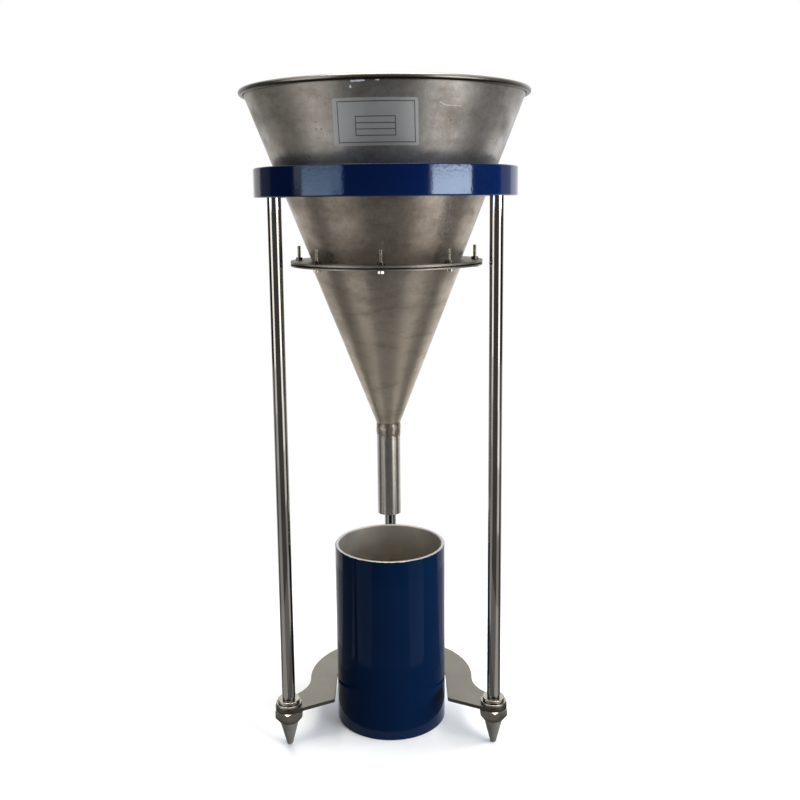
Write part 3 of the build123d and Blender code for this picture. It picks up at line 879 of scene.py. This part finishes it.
screw_rings = [
    ring_points(flats / 2 * head_face, screw_head_bottom, columns),
    hexagon(flats, screw_head_bottom, chamfer_slope),
    hexagon(flats, flange_bottom, 0.0),
    ring_points(thread_crest, flange_bottom, columns),
]
level = flange_bottom
while level < screw_tip - thread_pitch / 2:
    taper = min(1.0, (screw_tip - level) / thread_pitch - thread_run_out)
    ring = []
    for step in range(columns):
        phase = ((level - flange_bottom) / thread_pitch - step / columns) % 1.0
        crest = 1 - abs(2 * phase - 1)
        reach = thread_root + (thread_crest - thread_root) * crest * taper
        turn = 2 * pi * step / columns
        ring.append(Vector((reach * cos(turn), reach * sin(turn), level)))
    screw_rings.append(ring)
    level += thread_pitch / rows_in_pitch
screw_rings.append(ring_points(thread_root * tip_narrowing, screw_tip, columns))
one_screw = loft("one_flange_screw", screw_rings, "capped", bright_steel)

# Nut steel: darker and duller than the screws
nut_steel, tree, surface, place = new_finish("darker_nut_steel", {"Metallic": 1.0})
smear = add_node(tree, "ShaderNodeTexNoise", {"Scale": 1 / (3 * MM), "Detail": 4.0}, {"Vector": place})
tone = add_node(
    tree, "ShaderNodeMix", {"data_type": "RGBA", 6: linear("#45423c"), 7: linear("#76726a")},
    {0: smear.outputs["Fac"]},
)
gloss = add_node(
    tree, "ShaderNodeMapRange", {"To Min": 0.42, "To Max": 0.26}, {"Value": smear.outputs["Fac"]},
)
join(tree, surface, {"Base Color": tone.outputs[2], "Roughness": gloss.outputs[0]})
one_nut = loft("one_flange_nut", [
    ring_points(thread_crest + thread_clearance, flange_top, columns),
    ring_points(flats / 2 * nut_face, flange_top, columns),
    hexagon(flats, flange_top, chamfer_slope),
    hexagon(flats, nut_top, -chamfer_slope),
    ring_points(flats / 2 * nut_face, nut_top, columns),
    ring_points(thread_crest + nut_countersink, nut_top, columns),
    ring_points(thread_crest + thread_clearance, nut_top - nut_countersink, columns),
], "joined", nut_steel)

# Copies of one fastener stand round the circle, each turned by its own amount within the spread
tree, sizes = new_tree("ring_of_fasteners", {
    "Count": "NodeSocketInt", "Circle Radius": "NodeSocketFloat", "First Angle": "NodeSocketFloat",
    "Turn Spread": "NodeSocketFloat", "Turn Seed": "NodeSocketInt", "Finish": "NodeSocketMaterial",
})
circle = add_node(
    tree, "GeometryNodeMeshCircle", {}, {"Vertices": sizes["Count"], "Radius": sizes["Circle Radius"]},
)
begin = add_node(tree, "ShaderNodeCombineXYZ", {}, {"Z": sizes["First Angle"]})
circle = add_node(
    tree, "GeometryNodeTransform", {}, {"Geometry": circle.outputs[0], "Rotation": begin.outputs[0]},
)
spot = add_node(tree, "GeometryNodeInputPosition", {})
outward = add_node(tree, "FunctionNodeAlignRotationToVector", {"axis": "X"}, {"Vector": spot.outputs[0]})
spread = add_node(
    tree, "FunctionNodeRandomValue", {"data_type": "FLOAT", 2: 0.0},
    {3: sizes["Turn Spread"], "Seed": sizes["Turn Seed"]},
)
spread = add_node(tree, "ShaderNodeCombineXYZ", {}, {"Z": spread.outputs[1]})
spread = add_node(
    tree, "FunctionNodeRotateRotation", {"rotation_space": "LOCAL"},
    {0: outward.outputs[0], 1: spread.outputs[0]},
)
copies = add_node(tree, "GeometryNodeInstanceOnPoints", {}, {
    "Points": circle.outputs[0], "Instance": sizes["Geometry"], "Rotation": spread.outputs[0],
})
real = add_node(tree, "GeometryNodeRealizeInstances", {}, {0: copies.outputs[0]})
finished = add_node(
    tree, "GeometryNodeSetMaterial", {}, {"Geometry": real.outputs[0], "Material": sizes["Finish"]},
)
add_node(tree, "NodeGroupOutput", {}, {0: finished.outputs[0]})
for name, mesh, node, turn_spread, finish in (
    ("threaded_flange_screws", one_screw, "flange_screws", 0.0, bright_steel),
    ("chamfered_flange_nuts", one_nut, "flange_nuts", pi / 3, nut_steel),
):
    fasteners = grow(name, mesh, tree, {
        "Count": screw_count, "Circle Radius": screw_circle, "First Angle": first_screw,
        "Turn Spread": turn_spread, "Turn Seed": 5, "Finish": finish,
    })
    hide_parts(node)
    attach(fasteners, "funnel")

# Spout
# A short piece of stainless tube, butt welded to the tip of the lower cone and cut off square.
# It guides the stream of powder down to the cup.
spout_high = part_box("spout")[1]
dents_start = spout_high.z - 14 * MM
dents_full = spout_high.z - 4 * MM

# Drawn tube: a clearer shine than the sheet, with dents near the weld, and upright drawing lines that are
# drawn 1 mm apart to show
drawn_tube, tree, surface, place = new_finish("drawn_spout_tube", {"Metallic": 0.92})
along = add_node(
    tree, "ShaderNodeMapping", {"Scale": (1 / (1.0 * MM), 1 / (1.0 * MM), 1 / (40 * MM))}, {"Vector": place},
)
lines = add_node(tree, "ShaderNodeTexNoise", {"Scale": 1.0, "Detail": 3.0}, {"Vector": along.outputs[0]})
smear = add_node(tree, "ShaderNodeTexNoise", {"Scale": 1 / (10 * MM), "Detail": 4.0}, {"Vector": place})
tone = add_node(
    tree, "ShaderNodeMix", {"data_type": "RGBA", 6: linear("#b0aca5"), 7: linear("#cecac4")},
    {0: smear.outputs["Fac"]},
)
gloss = add_node(tree, "ShaderNodeMapRange", {"To Min": 0.1, "To Max": 0.28}, {"Value": lines.outputs["Fac"]})
split = add_node(tree, "ShaderNodeSeparateXYZ", {}, {0: place})
near_weld = add_node(
    tree, "ShaderNodeMapRange", {"From Min": dents_start, "From Max": dents_full},
    {"Value": split.outputs["Z"]},
)
dents = add_node(tree, "ShaderNodeTexNoise", {"Scale": 1 / (3.5 * MM), "Detail": 2.0}, {"Vector": place})
dents = add_node(
    tree, "ShaderNodeMath", {"operation": "MULTIPLY"}, {0: dents.outputs["Fac"], 1: near_weld.outputs[0]},
)
drawing = add_node(
    tree, "ShaderNodeBump", {"Strength": 0.25, "Distance": 0.03 * MM}, {"Height": lines.outputs["Fac"]},
)
dents = add_node(
    tree, "ShaderNodeBump", {"Strength": 0.8, "Distance": 0.5 * MM},
    {"Height": dents.outputs[0], "Normal": drawing.outputs[0]},
)
join(tree, surface, {
    "Base Color": tone.outputs[2], "Roughness": gloss.outputs[0], "Normal": dents.outputs[0],
})
dress(drawn_tube, "spout")

# Spout weld
# A hand-made fusion weld where the tip of the lower cone meets the tube, filed down but still lumpy.
# Its metal has run down the top of the tube, and its lower edge is uneven.
weld_level = spout_high.z - 5 * MM
weld_radius = spout_high.x
weld_half_height = 6 * MM
weld_proud = 0.38 * MM
weld_buried = 0.4 * MM
weld_sunk = 0.02 * MM
weld_run = 2.5 * MM
run_waves = 2.6
lump_waves = 2.8
lump_height = 3.5 * MM
lump_share = 1.1
cone_half_angle = radians(21.3)
weld_steps = 120
weld_rows = 16

# Filed weld: bright where the file has cut it, and dull and brownish from the heat between
filed_weld, tree, surface, place = new_finish("filed_weld_steel", {"Metallic": 1.0})
tint = add_node(tree, "ShaderNodeTexNoise", {"Scale": 1 / (4 * MM), "Detail": 4.0}, {"Vector": place})
tone = add_node(
    tree, "ShaderNodeMix", {"data_type": "RGBA", 6: linear("#877d70"), 7: linear("#bdb7ac")},
    {0: tint.outputs["Fac"]},
)
gloss = add_node(tree, "ShaderNodeMapRange", {"To Min": 0.5, "To Max": 0.22}, {"Value": tint.outputs["Fac"]})
join(tree, surface, {"Base Color": tone.outputs[2], "Roughness": gloss.outputs[0]})
weld_rings = []
for row in range(-1, weld_rows + 2):
    share = 2 * min(max(row, 0), weld_rows) / weld_rows - 1
    ring = []
    for step in range(weld_steps):
        turn = 2 * pi * step / weld_steps
        around = Vector((cos(turn), sin(turn), 0.0))
        level = weld_level + weld_half_height * share
        if share < 0:
            level += weld_run * share * noise.noise(around * run_waves)
        lump = noise.noise(around * lump_waves + Vector((0.0, 0.0, level / lump_height)))
        out = weld_proud * (1 - share ** 2) * (1 + lump_share * lump) - weld_sunk
        if row in (-1, weld_rows + 1):
            out = -weld_buried
        cone_slope = max(0.0, level - spout_high.z) * tan(cone_half_angle)
        ring.append(around * (weld_radius + cone_slope + out) + Vector((0.0, 0.0, level)))
    weld_rings.append(ring)
spout_weld = put("spout_weld", loft("spout_weld", weld_rings, "joined", filed_weld, 60))
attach(spout_weld, "funnel")

# Measuring cup
# A length of stainless tube with a disc welded in for its base, bored to hold one litre.
# It is enamelled blue outside, and its bore and top edge are left bare.
cup_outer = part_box("cup_tube")[1].x
paint_edge = 0.25 * MM
bare_edge = 0.4 * MM
ragged_paint = 0.25 * MM
paint_roughness = 0.07
bore_film = 0.12

# Enamel over bare steel: glossy navy outside, and a dull bore with a film of powder and turning lines,
# drawn 1 mm apart to show
cup_skin, tree, surface, place = new_finish("cup_enamel_and_bore", {
    "IOR": 1.5, "Specular IOR Level": 0.15, "Specular Tint": linear("#c8dcff"),
})
radius = from_axis(tree, place)
split = add_node(tree, "ShaderNodeSeparateXYZ", {}, {0: place})
ragged = add_node(tree, "ShaderNodeTexNoise", {"Scale": 1 / (3 * MM), "Detail": 3.0}, {"Vector": place})
ragged = add_node(
    tree, "ShaderNodeMapRange", {"To Min": -ragged_paint, "To Max": ragged_paint},
    {"Value": ragged.outputs["Fac"]},
)
reach = add_node(tree, "ShaderNodeMath", {"operation": "ADD"}, {0: radius, 1: ragged.outputs[0]})
bare = add_node(
    tree, "ShaderNodeMapRange", {"From Min": cup_outer - paint_edge, "From Max": cup_outer - bare_edge},
    {"Value": reach.outputs[0]},
)
drift = add_node(tree, "ShaderNodeTexNoise", {"Scale": 1 / (35 * MM), "Detail": 2.0}, {"Vector": place})
paint = add_node(
    tree, "ShaderNodeMix", {"data_type": "RGBA", 6: linear("#051a36"), 7: linear("#061e3d")},
    {0: drift.outputs["Fac"]},
)
cloud = add_node(tree, "ShaderNodeTexNoise", {"Scale": 1 / (16 * MM), "Detail": 4.0}, {"Vector": place})
steel = add_node(
    tree, "ShaderNodeMix", {"data_type": "RGBA", 6: linear("#c6bfb2"), 7: linear("#e6dfd2")},
    {0: cloud.outputs["Fac"]},
)
tone = add_node(
    tree, "ShaderNodeMix", {"data_type": "RGBA"},
    {0: bare.outputs[0], 6: paint.outputs[2], 7: steel.outputs[2]},
)
lines = add_node(
    tree, "ShaderNodeTexNoise", {"noise_dimensions": "1D", "Scale": 1 / (1.0 * MM), "Detail": 2.0},
    {"W": split.outputs["Z"]},
)
peel = add_node(tree, "ShaderNodeTexNoise", {"Scale": 1 / (2.6 * MM), "Detail": 1.0}, {"Vector": place})
relief = add_node(
    tree, "ShaderNodeMix", {"data_type": "FLOAT"},
    {0: bare.outputs[0], 2: peel.outputs["Fac"], 3: lines.outputs["Fac"]},
)
bore_dull = add_node(
    tree, "ShaderNodeMapRange", {"To Min": 0.34, "To Max": 0.46}, {"Value": cloud.outputs["Fac"]},
)
gloss = add_node(
    tree, "ShaderNodeMix", {"data_type": "FLOAT", 2: paint_roughness},
    {0: bare.outputs[0], 3: bore_dull.outputs[0]},
)
metal = add_node(tree, "ShaderNodeMapRange", {"To Max": 1 - bore_film}, {"Value": bare.outputs[0]})
skin = add_node(
    tree, "ShaderNodeBump", {"Strength": 0.4, "Distance": 0.03 * MM}, {"Height": relief.outputs[0]},
)
join(tree, surface, {
    "Base Color": tone.outputs[2], "Metallic": metal.outputs[0], "Roughness": gloss.outputs[0],
    "Normal": skin.outputs[0],
})
dress(cup_skin, "cup_tube")

# Turned base: dull bare steel with rings from the lathe, drawn 1 mm apart to show
turned_base, tree, surface, place = new_finish("turned_cup_base", {"Metallic": 1.0})
radius = from_axis(tree, place)
rings = add_node(
    tree, "ShaderNodeTexNoise", {"noise_dimensions": "1D", "Scale": 1 / (1.0 * MM), "Detail": 2.0},
    {"W": radius},
)
cloud = add_node(tree, "ShaderNodeTexNoise", {"Scale": 1 / (14 * MM), "Detail": 4.0}, {"Vector": place})
tone = add_node(
    tree, "ShaderNodeMix", {"data_type": "RGBA", 6: linear("#a5a29b"), 7: linear("#c4c1ba")},
    {0: cloud.outputs["Fac"]},
)
dull = add_node(tree, "ShaderNodeMapRange", {"To Min": 0.3, "To Max": 0.45}, {"Value": cloud.outputs["Fac"]})
turning = add_node(
    tree, "ShaderNodeBump", {"Strength": 0.4, "Distance": 0.04 * MM}, {"Height": rings.outputs["Fac"]},
)
join(tree, surface, {
    "Base Color": tone.outputs[2], "Roughness": dull.outputs[0], "Normal": turning.outputs[0],
})
dress(turned_base, "cup_base")

# Bench and backdrop
# A pale bench top that fades into a white backdrop, and keeps the object's soft shadow.
floor_radius = 1.3
floor_segments = 96
floor_fade_start = 0.06
floor_fade_end = 0.42
backdrop_light = 0.14

# Pale laminate: even and matt, fading out to the backdrop
pale_bench, tree, surface, place = new_finish("pale_bench", {
    "Base Color": linear("#f8f7f5"), "Roughness": 0.9,
})
distance = add_node(tree, "ShaderNodeVectorMath", {"operation": "LENGTH"}, {0: place})
fade = add_node(
    tree, "ShaderNodeMapRange",
    {"interpolation_type": "SMOOTHSTEP", "From Min": floor_fade_start, "From Max": floor_fade_end},
    {"Value": distance.outputs["Value"]},
)
clear = add_node(tree, "ShaderNodeBsdfTransparent", {})
mixed = add_node(
    tree, "ShaderNodeMixShader", {}, {0: fade.outputs[0], 1: surface.outputs[0], 2: clear.outputs[0]},
)
join(tree, tree.nodes["Material Output"], {"Surface": mixed.outputs[0]})
floor_mesh = bpy.data.meshes.new("bench")
floor_mesh.from_pydata(ring_points(floor_radius, 0.0, floor_segments), [], [tuple(range(floor_segments))])
floor_mesh.materials.append(pale_bench)
floor = put("bench", floor_mesh)
floor.visible_diffuse = False

# The backdrop is plain white to the eye and in reflections, and lights the object only a little
world = bpy.data.worlds.new("white_studio")
bpy.context.scene.world = world
world.use_nodes = True
tree = world.node_tree
path = add_node(tree, "ShaderNodeLightPath", {}).outputs
seen = add_node(
    tree, "ShaderNodeMath", {"operation": "MAXIMUM"}, {0: path["Is Camera Ray"], 1: path["Is Glossy Ray"]},
)
seen = add_node(
    tree, "ShaderNodeMath", {"operation": "MAXIMUM"}, {0: seen.outputs[0], 1: path["Is Transmission Ray"]},
)
strength = add_node(
    tree, "ShaderNodeMapRange", {"To Min": backdrop_light, "To Max": 1.0}, {"Value": seen.outputs[0]},
)
join(tree, tree.nodes["Background"], {"Strength": strength.outputs[0]})
tree.nodes["Background"].inputs["Color"].default_value = linear("#ffffff")

# Studio light
# A window stands at the front left and one at the front right, and a panel hangs overhead. Reflections show
# a low strip of each window and the panel. The lamps whose names end in fill light the object unseen.
aim = Vector((0.0, 0.0, 0.3))


def toward(azimuth, reach, level):
    """A point round the object, with azimuths counted from the front towards the right."""
    return Vector((reach * sin(radians(azimuth)), -reach * cos(radians(azimuth)), level))


for name, azimuth, reach, level, width, tall, power, colour in (
    ("window_right", 56.0, 1.5, 0.49, 0.98, 0.1, 3.8, "#edf5ff"),
    ("window_right_fill", 56.0, 1.5, 0.62, 0.98, 0.76, 21.6, "#edf5ff"),
    ("window_left", -52.5, 1.5, 0.49, 1.0, 0.1, 0.8, "#bfe0ff"),
    ("window_left_fill", -52.5, 1.5, 0.62, 1.0, 0.76, 4.9, "#d0e8ff"),
    ("overhead_panel", 0.0, 0.0, 1.9, 1.2, 1.2, 33.0, "#fffaf2"),
    ("side_fill", 95.0, 1.2, 0.6, 0.8, 0.8, 16.0, "#f4f8ff"),
    ("back_fill", 190.0, 1.4, 0.8, 1.2, 1.0, 22.0, "#f4f8ff"),
):
    light = bpy.data.lights.new(name, "AREA")
    light.shape = "RECTANGLE"
    light.size = width
    light.size_y = tall
    light.energy = power
    light.color = linear(colour)[:3]
    lamp = put(name, light)
    lamp.location = toward(azimuth, reach, level)
    lamp.rotation_euler = (aim - lamp.location).to_track_quat("-Z", "Y").to_euler()
    lamp.visible_camera = False
    lamp.visible_glossy = not name.endswith("fill")

# Studio cloths: no shine, each patch an even shade, from near black to three times as bright as white.
# They stand for the dark room and for the floor that the windows light. Only reflections show them, and
# they give the metal its streaks.
studio_cloth = bpy.data.materials.new("studio_cloth")
studio_cloth.use_nodes = True
tree = studio_cloth.node_tree
shade = add_node(tree, "ShaderNodeAttribute", {"attribute_name": "shade"})
glow = add_node(
    tree, "ShaderNodeEmission", {"Color": linear("#fffaf4")}, {"Strength": shade.outputs["Fac"]},
)
join(tree, tree.nodes["Material Output"], {"Surface": glow.outputs[0]})
cloth_level = 1 * MM
wall_reach = 2.0
cloth_edges = [(reach, cloth_level) for reach in (0.06, 0.17, 0.38, 0.62, 0.95, 1.4, wall_reach)]
cloth_edges += [(wall_reach, level) for level in (0.48, 1.9)]
cloth_step = 4
points, faces, shades = [], [], []

# Each row goes from one azimuth to another, in degrees, with the shades from the middle out and up the wall
for first, last, *patch_shades in (
    (-152, -132, 0.4, 0.65, 0.9, 0.6, 0.6, 0.6, 0.75, 0.75),
    (-132, -112, 0.3, 0.5, 0.75, 0.75, 0.75, 0.75, 0.12, 0.12),
    (-112, -80, 0.15, 0.15, 0.14, 0.1, 0.18, 0.18, 0.02, 0.02),
    (-80, -72, 0.12, 0.54, 0.5, 0.48, 0.45, 0.3, 0.1, None),
    (-72, -44, 0.12, 0.54, 0.5, 0.48, 0.8, 1.3, 2.2, None),
    (-44, -36, 0.12, 0.54, 0.5, 0.48, 0.25, 0.2, 0.1, None),
    (-36, 36, 0.18, 0.26, 0.11, 0.1, 0.1, 0.1, 0.09, 0.02),
    (36, 44, 0.12, 0.66, 0.46, 0.7, 1.3, 2.1, 3.0, None),
    (44, 64, 0.12, 0.66, 0.46, 1.1, 2.0, 2.3, 3.0, None),
    (64, 72, 0.12, 0.66, 0.46, 1.2, 1.3, 0.4, 0.1, None),
    (72, 80, 0.1, 0.11, 0.1, 0.2, 0.5, 0.2, 0.02, 0.02),
    (80, 112, 0.1, 0.11, 0.1, 0.05, 0.14, 0.14, 0.02, 0.02),
    (112, 132, 0.3, 0.4, 0.65, 0.75, 0.75, 0.75, 0.4, 0.4),
    (132, 152, 0.4, 0.55, 0.7, 0.95, 0.95, 0.95, None, None),
    (152, 208, 0.4, 0.9, None, None, None, None, None, None),
):
    for azimuth in range(first, last, cloth_step):
        turns = (azimuth, azimuth + cloth_step)
        for low, high, patch_shade in zip(cloth_edges, cloth_edges[1:], patch_shades):
            if patch_shade is not None:
                faces.append(tuple(range(len(points), len(points) + 4)))
                points += [toward(turns[0], *low), toward(turns[1], *low)]
                points += [toward(turns[1], *high), toward(turns[0], *high)]
                shades.append(patch_shade)
cloth_mesh = bpy.data.meshes.new("studio_cloths")
cloth_mesh.from_pydata(points, [], faces)
cloth_mesh.attributes.new("shade", "FLOAT", "FACE").data.foreach_set("value", shades)
cloth_mesh.materials.append(studio_cloth)
cloths = put("studio_cloths", cloth_mesh)
cloths.visible_camera = False
cloths.visible_diffuse = False
cloths.visible_shadow = False
cloths.visible_transmission = False

# Camera
# Stands in front at the height of the ring and looks down a little, as the photograph was taken.
# Its focal length and the centre of its lens are in pixels of the picture.
image_width = 800
focal_pixels = 952.7
principal_x, principal_y = 395.1, 356.0
camera_x, camera_y, camera_z = 6.3 * MM, -800.2 * MM, 455.7 * MM
pitch_down = radians(9.22)
roll = radians(-0.588)
camera = put("camera", bpy.data.cameras.new("camera"))
camera.data.sensor_width = 36.0
camera.data.lens = focal_pixels / image_width * camera.data.sensor_width
camera.data.shift_x = (image_width / 2 - principal_x) / image_width
camera.data.shift_y = (principal_y - image_width / 2) / image_width
camera.data.clip_start = 0.01
camera.location = (camera_x, camera_y, camera_z)
turned = Matrix.Rotation(pi / 2 - pitch_down, 3, "X") @ Matrix.Rotation(roll, 3, "Z")
camera.rotation_euler = turned.to_euler()
bpy.context.scene.camera = camera
bpy.context.scene.view_settings.view_transform = "Standard"
